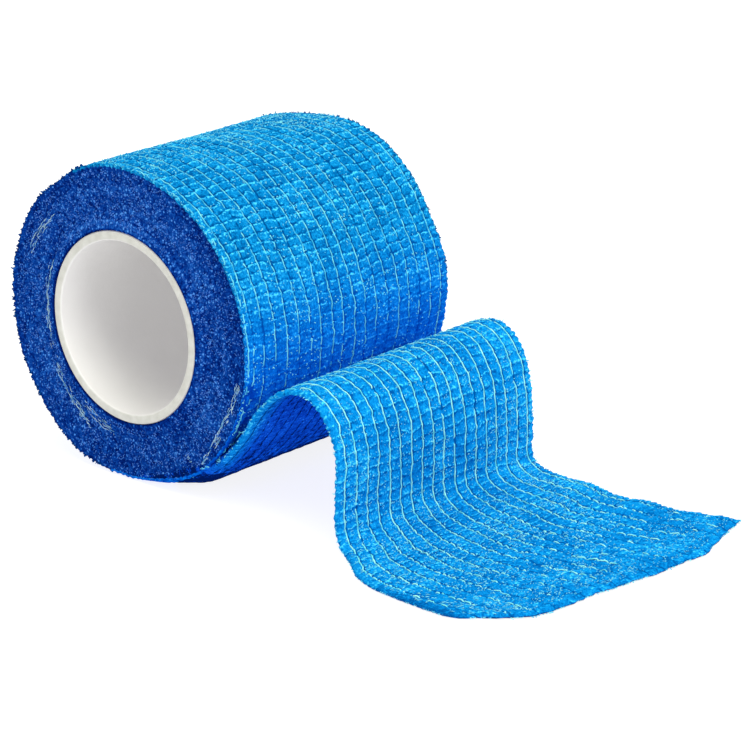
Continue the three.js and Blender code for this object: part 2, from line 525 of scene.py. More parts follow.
def upper_tone(s, v):
    """Shade is painted in the crevice by the roll and at the near corner."""
    along, x, tip = cloth_s(s, v), on_line(s, line_x), tip_share(s)
    # Painted shade at the near corner and in the crevice by the roll
    corner = ease(s, TIP_START - 6, TIP_START) * (1 - ease(from_near(v), 0.4, 1.8))
    painted_crevice_shade = ease(x, 30, 23) + 0.3 * ease(x, 22, 15)
    tone = 0.5 + 0.25 * grain(along, v, *LOOSE_CLOTH) + 0.5 * tip * (pebbles(along, v) - 0.5)
    tone = tone - 0.4 * corner - 0.5 * painted_crevice_shade
    return tone + 0.16 * ease(np.abs(v), 11, 25) * (1 - tip)


def lower_tone(s, v):
    """Shade is painted on it in from the near edge, and a contact shadow by the roll and where it
    lies on the floor.
    """
    x = on_line(s, line_x)
    # Painted contact shadow by the roll and where it lies on the floor
    painted_contact_shadow = 0.35 * ease(x, 25, 15) + 0.55 * ease(x, 17.5, 14.5)
    painted_contact_shadow = painted_contact_shadow + 0.8 * ease(s, FOOT, FOOT + 4)
    rough = (0.25 + 0.35 * ease(x, 24, 15)) * grain(cloth_s(s, v), v, *LOOSE_CLOTH)
    # Painted shade deepens in from the near edge
    return 0.64 - 0.18 * ease(from_near(v), 0, 5) + rough - painted_contact_shadow


def loose_place(s, v, lift):
    """A point over the loose end's upper face."""
    return loose_point(s, v, upper_height(s, v) + lift)


# Meshes

LOWEST = 0.005
TUBE_TAPER = 0.35


def new_object(name, data):
    made = bpy.data.objects.new(name, data)
    bpy.context.scene.collection.objects.link(made)
    return made


def new_piece(name, points, faces, material, **marks):
    """A smooth mesh object from points in millimetres and faces of equal size. Marks are numbers
    that each point carries for its material."""
    points = np.maximum(points, (-np.inf, -np.inf, LOWEST))
    points = np.ascontiguousarray(points * MM, dtype=np.float32)
    faces = np.ascontiguousarray(faces, dtype=np.int32)
    starts = np.arange(0, faces.size, faces.shape[1], dtype=np.int32)
    mesh = bpy.data.meshes.new(name)
    mesh.vertices.add(len(points))
    mesh.vertices.foreach_set("co", points.ravel())
    mesh.loops.add(faces.size)
    mesh.loops.foreach_set("vertex_index", faces.ravel())
    mesh.polygons.add(len(faces))
    mesh.polygons.foreach_set("loop_start", starts)
    mesh.update(calc_edges=True)
    mesh.validate()
    mesh.polygons.foreach_set("use_smooth", np.ones(len(mesh.polygons), dtype=bool))
    for mark_name, values in marks.items():
        attribute = mesh.attributes.new(mark_name, "FLOAT", "POINT")
        attribute.data.foreach_set("value", np.asarray(values, np.float32).ravel())
    mesh.materials.append(material)
    piece = new_object(name, mesh)
    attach(piece, "root")
    return piece


def ring_faces(rows, columns, close_rows=False):
    """Faces of rows of points, each row a closed ring. With close_rows the last meets the first."""
    i = np.arange(rows if close_rows else rows - 1)[:, None]
    j = np.arange(columns)[None, :]
    this_row, next_row = i * columns, (i + 1) % rows * columns
    next_j = (j + 1) % columns
    corners = (this_row + j, this_row + next_j, next_row + next_j, next_row + j)
    return np.stack(corners, -1).reshape(-1, 4)


def unit(vectors):
    return vectors / (np.linalg.norm(vectors, axis=-1, keepdims=True) + 1e-9)


def tubes(places, tops, radii, sides):
    """Points and faces of thin closed tubes, all of as many steps. sides is an even number."""
    count, steps = places.shape[:2]
    along = unit(np.gradient(places, axis=1))
    side = unit(np.cross(along, tops))
    up = np.cross(side, along)
    turns = 2 * math.pi * np.arange(sides) / sides
    ring = np.cos(turns)[:, None] * up[:, :, None, :] + np.sin(turns)[:, None] * side[:, :, None, :]
    taper = np.ones(steps)
    taper[0] = taper[-1] = TUBE_TAPER
    points = places[:, :, None, :] + ring * (radii[:, None] * taper)[:, :, None, None]
    fan = np.array([(0, k, k + 1, k + 2) for k in range(1, sides - 2, 2)])
    one = np.vstack([ring_faces(steps, sides), fan[:, ::-1], (steps - 1) * sides + fan])
    first = np.arange(count)[:, None, None] * steps * sides
    return points.reshape(-1, 3), (first + one[None]).reshape(-1, 4)


def joined(parts):
    """One set of points and faces from several."""
    points, faces, start = [], [], 0
    for part_points, part_faces in parts:
        points.append(part_points)
        faces.append(part_faces + start)
        start += len(part_points)
    return np.vstack(points), np.vstack(faces)


# Shader nodes

def feed(tree, socket, value):
    """Links another node's value to a socket, or sets the socket to a plain value."""
    if isinstance(value, bpy.types.NodeSocket):
        tree.links.new(value, socket)
    else:
        socket.default_value = value


def node(tree, kind, inputs=None, **settings):
    """A new node. inputs says what feeds its sockets, by their names or numbers."""
    made = tree.nodes.new(kind)
    for key, value in settings.items():
        setattr(made, key, value)
    for socket, value in (inputs or {}).items():
        feed(tree, made.inputs[socket], value)
    return made


def colour_ramp(tree, value, positions, colours):
    """Colour at a value, blended between the colours at these positions."""
    ramp = node(tree, "ShaderNodeValToRGB", {"Fac": value})
    elements = ramp.color_ramp.elements
    while len(elements) < len(positions):
        elements.new(0.5)
    for element, position, colour in zip(elements, positions, colours):
        element.position = position
        element.color = (*colour, 1)
    return ramp.outputs["Color"]


def noise_node(tree, where, size, detail=2.0, distortion=0.0):
    """Noise with features of a given size in millimetres."""
    inputs = {"Vector": where, "Scale": 1 / (size * MM), "Detail": detail, "Roughness": 0.5,
              "Distortion": distortion}
    return node(tree, "ShaderNodeTexNoise", inputs).outputs["Fac"]


def maths(tree, operation, *values):
    """One sum on numbers or on other nodes' values."""
    return node(tree, "ShaderNodeMath", dict(enumerate(values)), operation=operation).outputs[0]


def total(tree, start, *terms):
    """A start, plus each value times its weight."""
    for value, weight in terms:
        start = maths(tree, "MULTIPLY_ADD", value, weight, start)
    return start


def centred_total(tree, start, *terms):
    """A start, plus each value's distance from its middle, 0.5, times its weight."""
    return total(tree, start - 0.5 * sum(weight for _, weight in terms), *terms)


def rise(tree, value, start, end):
    """From 0 at the start to 1 at the end, and level past them."""
    inputs = {"Value": value, "From Min": start, "From Max": end}
    return node(tree, "ShaderNodeMapRange", inputs).outputs["Result"]


def line_at(tree, count, place, half_width):
    """1 on a line beside each whole count, and 0 at the line's sides."""
    off = maths(tree, "PINGPONG", maths(tree, "SUBTRACT", count, place), 0.5)
    return rise(tree, off, half_width, 0)


def dots(tree, where, spacing, size):
    """Round dots about a spacing apart, 1 in their middles. Both sizes are in millimetres."""
    voronoi = node(tree, "ShaderNodeTexVoronoi", {"Vector": where, "Scale": 1 / (spacing * MM)})
    return rise(tree, voronoi.outputs["Distance"], size / spacing, 0.4 * size / spacing)


def mark(tree, name):
    """The number that each point carries under this name."""
    return node(tree, "ShaderNodeAttribute", attribute_name=name).outputs["Fac"]


def blend_colours(tree, share, first, second):
    made = node(tree, "ShaderNodeMix", data_type="RGBA")
    sockets = [socket for socket in made.inputs if socket.enabled]
    for socket, value in zip(sockets, (share, first, second)):
        feed(tree, socket, value)
    return [socket for socket in made.outputs if socket.enabled][0]


def add_bump(tree, shader, height, depth):
    bump = node(tree, "ShaderNodeBump", {"Distance": depth * MM, "Height": height})
    feed(tree, shader.inputs["Normal"], bump.outputs["Normal"])


def new_material(name, roughness, specular):
    """A material, its tree, its shader, and coordinates that stay with the object."""
    material = bpy.data.materials.new(name)
    material.use_nodes = True
    tree = material.node_tree
    shader = tree.nodes["Principled BSDF"]
    shader.inputs["Roughness"].default_value = roughness
    shader.inputs["Specular IOR Level"].default_value = specular
    coordinates = node(tree, "ShaderNodeTexCoord").outputs["Object"]
    return material, tree, shader, coordinates


# Tones from dark to pale, and each material's colours at these tones
STOPS = (0.04, 0.26, 0.48, 0.68, 0.86, 1.0)
ON_ROLL = ((0.0004, 0.066, 0.25), (0.0009, 0.126, 0.39), (0.0020, 0.205, 0.55),
           (0.0065, 0.284, 0.67), (0.024, 0.41, 0.80), (0.07, 0.60, 0.92))
# The roll's colours where shade is painted on it: deeper and bluer
ROLL_PAINTED_SHADE = ((0.0003, 0.056, 0.49), (0.0008, 0.100, 0.63), (0.0015, 0.146, 0.76),
               (0.0045, 0.196, 0.87), (0.018, 0.29, 0.93), (0.05, 0.45, 0.98))
ON_LOOSE = ((0.0004, 0.083, 0.33), (0.0010, 0.148, 0.49), (0.0018, 0.217, 0.64),
            (0.0050, 0.300, 0.75), (0.022, 0.43, 0.84), (0.07, 0.62, 0.93))
# The loose end's colours where shade is painted on it, underneath and by the roll
LOOSE_PAINTED_SHADE = ((0.0004, 0.010, 0.10), (0.0016, 0.052, 0.49), (0.0036, 0.090, 0.65),
              (0.0065, 0.132, 0.82), (0.019, 0.21, 0.92), (0.05, 0.36, 0.98))
# Colours of the end faces: partly the cut edges' own dark blue, partly painted shade
CUT_EDGES_AND_SHADE = ((0.0003, 0.009, 0.120), (0.0010, 0.023, 0.212), (0.0027, 0.046, 0.305),
             (0.0080, 0.085, 0.42), (0.029, 0.160, 0.60), (0.09, 0.31, 0.84))

# The core's wall and its cut ends are mottled with two colours each
WALL_COLOURS = (0.79, 0.78, 0.785), (0.83, 0.82, 0.825)
CUT_COLOURS = (0.56, 0.56, 0.52), (0.67, 0.67, 0.64)
FLOOR_COLOUR = (0.30, 0.30, 0.30)


# Materials

def cloth_lines(tree, where):
    """Painted highlights on the crests, painted shade in the creases beside them and in the grooves
    beside the threads. They fade where shade is painted and where the cloth is worn."""
    shelter, worn, columns = mark(tree, "shelter"), mark(tree, "worn"), mark(tree, "columns")
    rows = total(tree, mark(tree, "rows"), (noise_node(tree, where, 1.1), 0.5))
    rows = maths(tree, "SUBTRACT", rows, 0.25)

    rows_open = total(tree, 1.0, (shelter, -0.6), (worn, -0.45))
    broken = rise(tree, noise_node(tree, where, 0.42, detail=1), 0.43, 0.57)
    crest = maths(tree, "MULTIPLY", line_at(tree, rows, 0.0, 0.15), broken)
    by_thread = total(tree, 0.35, (line_at(tree, columns, 0.16, 0.40), 0.65))
    crease = maths(tree, "MULTIPLY", line_at(tree, rows, 0.22, 0.17), by_thread)
    deep = rise(tree, noise_node(tree, where, 0.75, detail=1), 0.36, 0.58)
    crease = maths(tree, "MULTIPLY", crease, total(tree, 0.25, (deep, 0.75)))

    columns_open = total(tree, 1.0, (shelter, -0.45), (worn, -0.6))
    dashed = rise(tree, noise_node(tree, where, 1.0, detail=1), 0.30, 0.50)
    groove = maths(tree, "MULTIPLY", line_at(tree, columns, 0.095, 0.085), dashed)
    shares = ((crest, rows_open), (crease, rows_open), (groove, columns_open))
    return (maths(tree, "MULTIPLY", line, share) for line, share in shares)


def cloth_material(name, colours, sheltered, rows_shown, groove_shown):
    """Crinkled nonwoven, mottled and flecked all over, with other colours where shade is painted."""
    material, tree, shader, where = new_material(name, 0.9, 0.0)
    crest, crease, groove = cloth_lines(tree, where)
    patches = noise_node(tree, where, 7.0)
    mottle = noise_node(tree, where, 0.8, distortion=0.5)
    fibres = noise_node(tree, where, 0.32, detail=1)
    specks = maths(tree, "MULTIPLY", dots(tree, where, 0.75, 0.30), rise(tree, patches, 0.40, 0.62))
    relief = total(tree, 0.5, (crest, 0.40), (crease, -0.15), (groove, -0.5), (mottle, 0.3))
    tone = centred_total(tree, 0.43, (mark(tree, "tone"), 0.75), (patches, 0.35), (mottle, 0.45),
                         (fibres, 0.95))
    # Painted highlights on the crests, painted shade in the creases and in the grooves by the
    # threads
    tone = total(tree, tone, (crest, 0.90 * rows_shown), (crease, -0.85 * rows_shown),
                 (groove, -groove_shown), (specks, 0.45))
    # Where shade is painted, the tone takes the shaded colours instead
    ramps = (colour_ramp(tree, tone, STOPS, row) for row in (colours, sheltered))
    colour = blend_colours(tree, mark(tree, "shelter"), *ramps)
    feed(tree, shader.inputs["Base Color"], colour)
    add_bump(tree, shader, relief, 0.16)
    return material


def end_material(name, colours):
    """The cut edges of the wound turns: dark, partly of their own colour and partly painted
    shade, dotted with paler fibre ends.
    """
    material, tree, shader, where = new_material(name, 0.9, 0.0)
    mottle = noise_node(tree, where, 0.7, distortion=0.5)
    fibres = noise_node(tree, where, 0.32, detail=1)
    ends = dots(tree, where, 0.70, 0.27)
    tone = centred_total(tree, 0.36, (mark(tree, "tone"), 0.75), (mottle, 0.7), (fibres, 1.2))
    tone = total(tree, tone, (ends, 0.60))
    feed(tree, shader.inputs["Base Color"], colour_ramp(tree, tone, STOPS, colours))
    add_bump(tree, shader, total(tree, 0, (mottle, 0.5), (fibres, 0.5), (ends, 0.5)), 0.2)
    return material


def fibre_material(name, dark, light):
    """Thread or loose fibre, its colour changing a little along it."""
    material, tree, shader, where = new_material(name, 0.8, 0.0)
    colour = colour_ramp(tree, noise_node(tree, where, 1.4), (0.35, 0.65), (dark, light))
    feed(tree, shader.inputs["Base Color"], colour)
    return material


def core_material():
    """Smooth off-white tube, faintly mottled, its cut ends a little duller."""
    material, tree, shader, where = new_material("core_tube", 0.5, 0.15)
    wall, cut = (colour_ramp(tree, noise_node(tree, where, size, detail=3), (0.3, 0.7), colours)
                 for size, colours in ((14, WALL_COLOURS), (1.6, CUT_COLOURS)))
    feed(tree, shader.inputs["Base Color"], blend_colours(tree, mark(tree, "cut"), wall, cut))
    add_bump(tree, shader, noise_node(tree, where, 0.9, detail=4), 0.03)
    return material


def floor_material():
    """Plain white, and a little bright of itself so that the shadows stay soft."""
    material, _, shader, _ = new_material("floor", 0.9, 0.0)
    shader.inputs["Base Color"].default_value = (*FLOOR_COLOUR, 1)
    shader.inputs["Emission Color"].default_value = (1, 1, 1, 1)
    shader.inputs["Emission Strength"].default_value = 0.86
    return material


roll_cloth = cloth_material("roll_cloth", ON_ROLL, ROLL_PAINTED_SHADE, rows_shown=0.90, groove_shown=0.60)
loose_cloth = cloth_material("loose_cloth", ON_LOOSE, LOOSE_PAINTED_SHADE, rows_shown=0.70, groove_shown=1.15)
cloth_end = end_material("cloth_end", CUT_EDGES_AND_SHADE)
thread = fibre_material("elastic_thread", (0.12, 0.66, 0.76), (0.38, 0.93, 0.86))
roll_thread = fibre_material("roll_thread", (0.04, 0.42, 0.68), (0.20, 0.76, 0.84))
blue_fibre = fibre_material("blue_fibre", (0.05, 0.44, 0.74), (0.26, 0.82, 0.90))
navy_fibre = fibre_material("navy_fibre", (0.0005, 0.022, 0.14), (0.004, 0.075, 0.30))
violet_fibre = fibre_material("violet_fibre", (0.010, 0.085, 0.44), (0.10, 0.27, 0.78))
wisp_fibre = fibre_material("wisp_fibre", (0.14, 0.40, 0.66), (0.62, 0.84, 0.86))


# The wound turns

def roll_outside(degrees, v):
    """Radius, y and tone of the outside. Its rims are ragged, and shadows are painted beside the
    near one, low on the loose end's side."""
    radius, tone = roll_face(degrees, v)
    rags = 0.25 * roll_noise(arc_at(degrees), v, 0.9, WIDE, Seed.RIM_RAGS) + 0.05
    y = v + np.sign(v) * edge_share(v, 0.8) * rags
    # Painted shadows in patches beside the near rim, low on the loose end's side
    painted_rim_shadows = ease(roll_noise(arc_at(degrees), v, 1.9, 1.2, Seed.RIM_SHADOWS), 0.15, 0.45)
    painted_rim_shadows = painted_rim_shadows * ease(from_edge(v), 3.5, 1.5) * (v < 0)
    return radius, y, tone - painted_rim_shadows * ease(degrees, 38, 43) * ease(degrees, 84, 76)


def roll_end(end, rim_radius, rim_y, degrees, count):
    """Points and tone of an end face, from the rim in. end is -1 or 1."""
    share = np.linspace(0, 1, count)[None, :]
    r = rim_radius + (WOUND_INSIDE - rim_radius) * share
    height, tone = end_face(r, degrees, Seed.ENDS + end)
    blend = ease(share, 0, 0.06)
    y = rim_y * (1 - blend) + end * (HALF_WIDTH + height) * blend
    return round_points(r, y, degrees), tone


def looks_cut(degrees, columns, end_count):
    """Which faces show cut edges: both ends, and the near rim away from the loose end."""
    away = (degrees > 205) & (degrees < 350)
    near_columns = end_count - 2 + 2 * away
    column = np.arange(columns)[None, :]
    return (column < near_columns) | (column >= columns - end_count + 1)


def wound_turns():
    """The roll as a closed ring: crinkled outside, coarse end faces where the turns show."""
    around_count = round(TURN_LENGTH / GRID)
    end_count = round((ROLL_RADIUS - WOUND_INSIDE) / GRID) + 1
    degrees = (np.arange(around_count) * 360 / around_count)[:, None]
    radius, y, tone = roll_outside(degrees, ACROSS)
    near, near_tone = roll_end(-1, radius[:, [0]], y[:, [0]], degrees, end_count)
    far, far_tone = roll_end(1, radius[:, [-1]], y[:, [-1]], degrees, end_count)
    outside = round_points(radius, y, degrees)
    loop = np.concatenate([near[:, :0:-1], outside, far[:, 1:]], axis=1)
    tones = np.concatenate([near_tone[:, :0:-1], tone, far_tone[:, 1:]], axis=1)
    rows, columns = loop.shape[:2]

    # Shade is painted low on the roll, more on the loose end's side, and the tone is painted darker
    # near the bottom
    from_below = np.abs((degrees + 180) % 360 - 180)
    facing = 0.76 + 0.24 * np.sin(np.radians(degrees))
    shelter = np.broadcast_to(facing * ease(from_below, 126, 64), tones.shape)
    tones = tones - 0.25 * ease(from_below, 62, 44)
    arc = arc_at(degrees)
    v = np.pad(ACROSS, ((0, 0), (end_count - 1, end_count - 1)), "edge")
    piece = new_piece("wound_turns", loop.reshape(-1, 3), ring_faces(rows, columns, close_rows=True),
                      roll_cloth, tone=tones, shelter=shelter, worn=0 * tones,
                      rows=row_count(arc, v, *ROLL_CLOTH) + 0 * tones,
                      columns=column_count(arc, v, Seed.ROLL_THREADS) + 0 * tones)
    piece.data.materials.append(cloth_end)
    is_end = looks_cut(degrees, columns, end_count)
    piece.data.polygons.foreach_set("material_index", is_end.ravel().astype(np.int32))
    return piece


# The loose end

EDGE_TOOTH_LENGTH = 1.15


def edge_teeth(s, v):
    """How far the ragged edges stick out. The near one is calmer by the roll and where flat."""
    along = cloth_s(s, v)
    uneven = 2 * noise(along, v, 6, WIDE, Seed.EDGE_TEETH)
    tooth = np.abs(np.sin(math.pi * along / EDGE_TOOTH_LENGTH + uneven))
    rags = 0.28 * noise(along, v, 0.8, WIDE, Seed.EDGE_RAGS)
    ragged = (0.40 + 0.12 * (v > 0)) * (tooth - 0.5) + rags
    by_roll = ease(on_line(s, line_x), 34, 26)
    calm = 1 - 0.7 * (ease(s, FOOT - 4, FOOT + 6) + by_roll) * (v < 0)
    return np.sign(v) * edge_share(v, 1.4) * ragged * calm


def there_and_back(upper, lower):
    """Rows that run across the upper face and back across the lower one."""
    return np.concatenate([upper, lower[:, ::-1]], axis=1)


def loose_sheet(s, v, height):
    """Points of one face of the loose end, ragged all round."""
    rags = 0.35 * noise(v, s, 0.9, WIDE, Seed.CUT_RAGS)
    bends = 0.30 * noise(v, s, 3.5, WIDE, Seed.CUT_BENDS)
    ragged_s = s + ease(s, LINE_LENGTH - 3, LINE_LENGTH) * (rags + bends)
    points = loose_point(np.minimum(ragged_s, LINE_LENGTH), v, height)
    points[..., 0] += np.maximum(ragged_s - LINE_LENGTH, 0)
    points[..., 1] += edge_teeth(s, v)
    return points


def closed_strip_faces(rows, columns):
    """Faces of rows that run there and back, with both ends closed."""
    there = np.arange(columns // 2)
    back = columns - 1 - there
    start = np.stack([there[:-1], there[1:], back[1:], back[:-1]], -1)
    last = (rows - 1) * columns
    return np.vstack([ring_faces(rows, columns)[:, (0, 3, 2, 1)], start, last + start[:, ::-1]])


def loose_end():
    """The last turn, from its hidden start to the cut."""
    s = np.linspace(0, LINE_LENGTH, round(LINE_LENGTH / GRID) + 1)[:, None]
    v = ACROSS
    loop = there_and_back(loose_sheet(s, v, upper_height(s, v)),
                          loose_sheet(s, v, lower_height(s, v)))
    rows, columns = loop.shape[:2]

    x, along = on_line(s, line_x), cloth_s(s, v)
    # Shade is painted on the upper face by the crevice at the roll, and on the lower face in from
    # the near edge and low by the roll
    inside = np.maximum(ease(from_near(v), -1, 6), ease(x, 26, 16))
    shelter = there_and_back(np.repeat(ease(x, 34, 22), ACROSS_COUNT, 1), inside)
    at_tip = ease(s, TIP_START - 10, TIP_START + 8)
    crests = row_count(along, v, *LOOSE_CLOTH)
    crests = crests + 0.8 * at_tip * noise(along, v, 1.3, 1.1, Seed.TIP_ROWS)
    lines = column_count(s, v, Seed.LOOSE_THREADS)
    worn = np.repeat(ease(s, TIP_START - 8, TIP_START + 8), columns, 1)
    return new_piece("loose_end", loop.reshape(-1, 3), closed_strip_faces(rows, columns),
                     loose_cloth, tone=there_and_back(upper_tone(s, v), lower_tone(s, v)),
                     shelter=shelter, worn=worn, rows=there_and_back(crests, crests),
                     columns=there_and_back(lines, lines))


# The elastic threads

THREAD_STEP = 0.36
ROLL_THREAD_STEP = 0.8
THREAD_SIDES = 6


def thread_line(k, s, seed):
    """Across place of thread k."""
    return FIRST_THREAD + k * THREAD_PITCH + thread_stray(k, s, seed)


def crinkle_wave(s, k, seed):
    """A wave from -1 to 1 with every crinkle, shifted for each thread."""
    return np.cos(2 * math.pi * s / CRINKLE_PITCH + 6 * lattice(k, 1, seed))


def dips(s, k, seed):
    """From 0 to 1, how far a thread dives under the cloth's crests."""
    crest = (0.5 + 0.5 * crinkle_wave(s, k, seed)) ** 9
    return crest * ease(line_noise(s, 3.7 * k, 2.7, seed + 1), -0.6, -0.1)


def thread_tube(place, s, v, lift, radius):
    """A thread that follows a face, at the points that place gives."""
    places = place(s, v, lift)
    tops = place(s, v, lift + 1) - places
    return tubes(places[None], tops[None], np.array([radius]), THREAD_SIDES)


def loose_threads():
    """The loose end's threads, in dashes where it is flat. Near the tip they come and go."""
    parts = []
    for k in range(THREAD_COUNT):
        end = LINE_LENGTH - 0.8 - 5 * lattice(k, 3, Seed.THREAD_TIPS)
        s = np.arange(FREE_START, end, THREAD_STEP)
        v = thread_line(k, s, Seed.LOOSE_THREADS)
        tip = ease(s, TIP_START - 14, TIP_START + 6)
        gaps = line_noise(s, 3.1 * k, 2.2 - 1.0 * tip, Seed.THREAD_GAPS)
        hidden = ease(gaps, 0.76 - 0.90 * tip, 0.88 - 0.90 * tip)
        flat = ease(s, FOOT - 6, FOOT + 12)
        dashes = ease(crinkle_wave(s, k, Seed.LOOSE_DIPS), 0.5, 0.8)
        lift = 0.10 + 0.03 * flat - 0.30 * hidden
        lift = lift - 0.12 * dips(s, k, Seed.LOOSE_DIPS) - 0.24 * flat * dashes
        radius = 0.10 + 0.03 * lattice(k, 5, Seed.THICKNESS)
        parts.append(thread_tube(loose_place, s, v, lift, radius))
    return new_piece("loose_end_threads", *joined(parts), thread)


def rim_thread():
    """One more thread, close to the roll's near rim."""
    arc = arc_at(np.arange(40, 330, ROLL_THREAD_STEP))
    v = -HALF_WIDTH + 0.50 + 0.12 * kinked(arc, 1.3, Seed.RIM_KINKS)
    hidden = ease(line_noise(arc, 0, 1.1, Seed.RIM_GAPS), 0.0, 0.15)
    return thread_tube(roll_place, arc, v, 0.04 - 0.30 * hidden, 0.11)


def roll_threads():
    """The threads of the outermost turn, half sunk in the cloth and often hidden."""
    degrees = np.arange(32, 345, ROLL_THREAD_STEP)
    arc = arc_at(degrees)
    shown = 0.30 - 0.75 * ease(np.abs(degrees - 132), 22, 88)
    parts = []
    for k in range(THREAD_COUNT):
        v = thread_line(k, arc, Seed.ROLL_THREADS)
        gaps = 0.6 * line_noise(arc, 3.1 * k, 1.7, Seed.ROLL_GAPS)
        gaps = gaps + 0.5 * line_noise(arc, 2.7 * k, 12, Seed.ROLL_STRETCHES)
        hidden = ease(gaps, shown, shown + 0.15)
        lift = 0.05 - 0.24 * hidden - 0.20 * dips(arc, k, Seed.ROLL_DIPS)
        radius = 0.09 + 0.02 * lattice(k, 5, Seed.ROLL_THICKNESS)
        parts.append(thread_tube(roll_place, arc, v, lift, radius))
    return new_piece("roll_threads", *joined(parts + [rim_thread()]), roll_thread)


# Loose fibres

FIBRE_SIDES = 4
FLECK_LENGTHS = (0.15, 0.42)
FUZZ_LENGTHS = (0.15, 0.4)
FUZZ_UP = (0.31, 0.17, 0.93)


def flecks(place, s, v, lengths, rng, patchy=0.5, thick=(0.055, 0.095)):
    """Short bits of fibre that lie on a face at s and v, more of them in some patches."""
    kept = noise(s, v, 6, 5, Seed.FLECK_PATCHES) > rng.uniform(-1.0, patchy, len(s))
    s, v, lengths = s[kept], v[kept], lengths[kept]
    t = np.linspace(-0.5, 0.5, 3)[None, :]
    headings = rng.normal(math.pi / 2, 0.8, len(s))[:, None]
    s = s[:, None] + lengths[:, None] * np.cos(headings) * t
    v = v[:, None] + lengths[:, None] * np.sin(headings) * t
    arch = rng.uniform(0.03, 0.12, len(s))[:, None] * (1 - 4 * t * t)
    places = place(s, v, arch)
    tops = place(s, v, arch + 1) - places
    return tubes(places, tops, rng.uniform(*thick, len(s)), FIBRE_SIDES)


def standing_fibres(roots, ways, lengths, rng, radius=0.065):
    """Fibres that stand out of an edge, each bent to one side."""
    t = np.linspace(-0.2, 1, 5)[None, :, None]
    bends = rng.normal(0, 0.35, roots.shape)[:, None, :] * t * np.abs(t)
    places = roots[:, None, :] + lengths[:, None, None] * (unit(ways)[:, None, :] * t + bends)
    tops = np.broadcast_to(np.array(FUZZ_UP), places.shape)
    return tubes(places, tops, radius * rng.uniform(0.7, 1.3, len(roots)), FIBRE_SIDES)


def rim_fuzz(count, end, degrees, rng, radius=0.065):
    """Fuzz along part of one of the roll's rims."""
    degrees = rng.uniform(*degrees, count)
    v = np.full(count, end * (HALF_WIDTH - 0.15))
    roots = roll_place(arc_at(degrees), v, -0.05)
    x, z = round_axis(1, degrees)
    ways = np.stack([x, end * rng.uniform(0.2, 1.0, count), z - AXIS_HEIGHT], -1)
    ways = ways + rng.normal(0, 0.35, ways.shape)
    return standing_fibres(roots, ways, rng.uniform(*FUZZ_LENGTHS, count), rng, radius)


def roll_fibres():
    """Flecks of fibre on the outermost turn, and pale fuzz along its rims."""
    rng = np.random.default_rng(11)
    count = 8500
    degrees = np.where(rng.random(count) < 0.35, rng.uniform(165, 255, count),
                       rng.uniform(28, 350, count))
    v = rng.uniform(-HALF_WIDTH + 0.5, HALF_WIDTH - 0.5, count)
    lengths = rng.uniform(*FLECK_LENGTHS, count)
    lying = flecks(roll_place, arc_at(degrees), v, lengths, rng, 0.45, (0.06, 0.12))
    far, near = rim_fuzz(260, 1, (-20, 340), rng), rim_fuzz(160, -1, (60, 185), rng)
    return new_piece("roll_fibres", *joined([lying, far, near]), blue_fibre)


def shaded_fuzz():
    """Darker fuzz: on the near rim away from the loose end, and on top of the far rim."""
    rng = np.random.default_rng(17)
    near, far = rim_fuzz(420, -1, (200, 351), rng, 0.15), rim_fuzz(90, 1, (90, 225), rng, 0.10)
    return new_piece("shaded_fuzz", *joined([near, far]), navy_fibre)


def edge_fuzz(rng, count=800):
    """Fuzz along the loose end's long edges, most of it along the far one."""
    s = rng.uniform(FREE_START - 4, LINE_LENGTH, count)
    far = rng.random(count) < 0.8
    v = np.where(far, HALF_WIDTH, -HALF_WIDTH)
    lengths = np.where(far | (s < FOOT), rng.uniform(0.2, 0.45, count), 0.2)
    ways = np.stack([rng.normal(0, 0.5, count), np.sign(v), rng.normal(0, 0.3, count)], -1)
    return standing_fibres(loose_point(s, v, 0 * s), ways, lengths, rng)


def cut_fuzz(rng, count=200):
    """Fuzz along the loose end's cut."""
    v = rng.uniform(-HALF_WIDTH, HALF_WIDTH, count)
    ways = np.stack([np.ones(count), rng.normal(0, 0.5, count), rng.normal(0, 0.2, count)], -1)
    roots = loose_point(LINE_LENGTH + 0 * v, v, 0 * v)
    return standing_fibres(roots, ways, rng.uniform(*FUZZ_LENGTHS, count), rng)


def loose_end_fibres():
    """Flecks of fibre on the loose end, denser towards its cut, and fuzz along its edges."""
    rng = np.random.default_rng(23)
    count = 9500
    s = FREE_START + (LINE_LENGTH - 1 - FREE_START) * rng.random(count) ** 0.7
    v = rng.uniform(-HALF_WIDTH + 0.8, HALF_WIDTH - 0.4, count)
    lying = flecks(loose_place, s, v, rng.uniform(*FLECK_LENGTHS, count), rng)
    sides = edge_fuzz(rng)
    return new_piece("loose_end_fibres", *joined([lying, sides, cut_fuzz(rng)]), blue_fibre)


# Pale wisps on the near end: radius and angle of each one's places
WISPS = (
    ((24.3, 251), (24.0, 243), (23.8, 235), (23.2, 224)),
    ((19.0, 239), (18.7, 258), (18.5, 269), (18.7, 282), (19.4, 294)),
    ((19.6, 296), (20.3, 310), (20.9, 324), (21.5, 333)),
    ((20.3, 315), (21.0, 326), (21.8, 336)),
    ((19.0, 326), (19.6, 338), (19.8, 353)),
    ((26.1, 40), (25.5, 46), (25.0, 62), (25.3, 70), (25.6, 85)),
    ((24.9, 34), (24.8, 37)),
)
WISP_STRANDS = 7


def end_place(arc, r, lift):
    """A point on the near end of the roll."""
    degrees = degrees_at(arc)
    height, _ = end_face(r, degrees, Seed.ENDS - 1)
    return round_points(r, -HALF_WIDTH - height - lift, degrees)


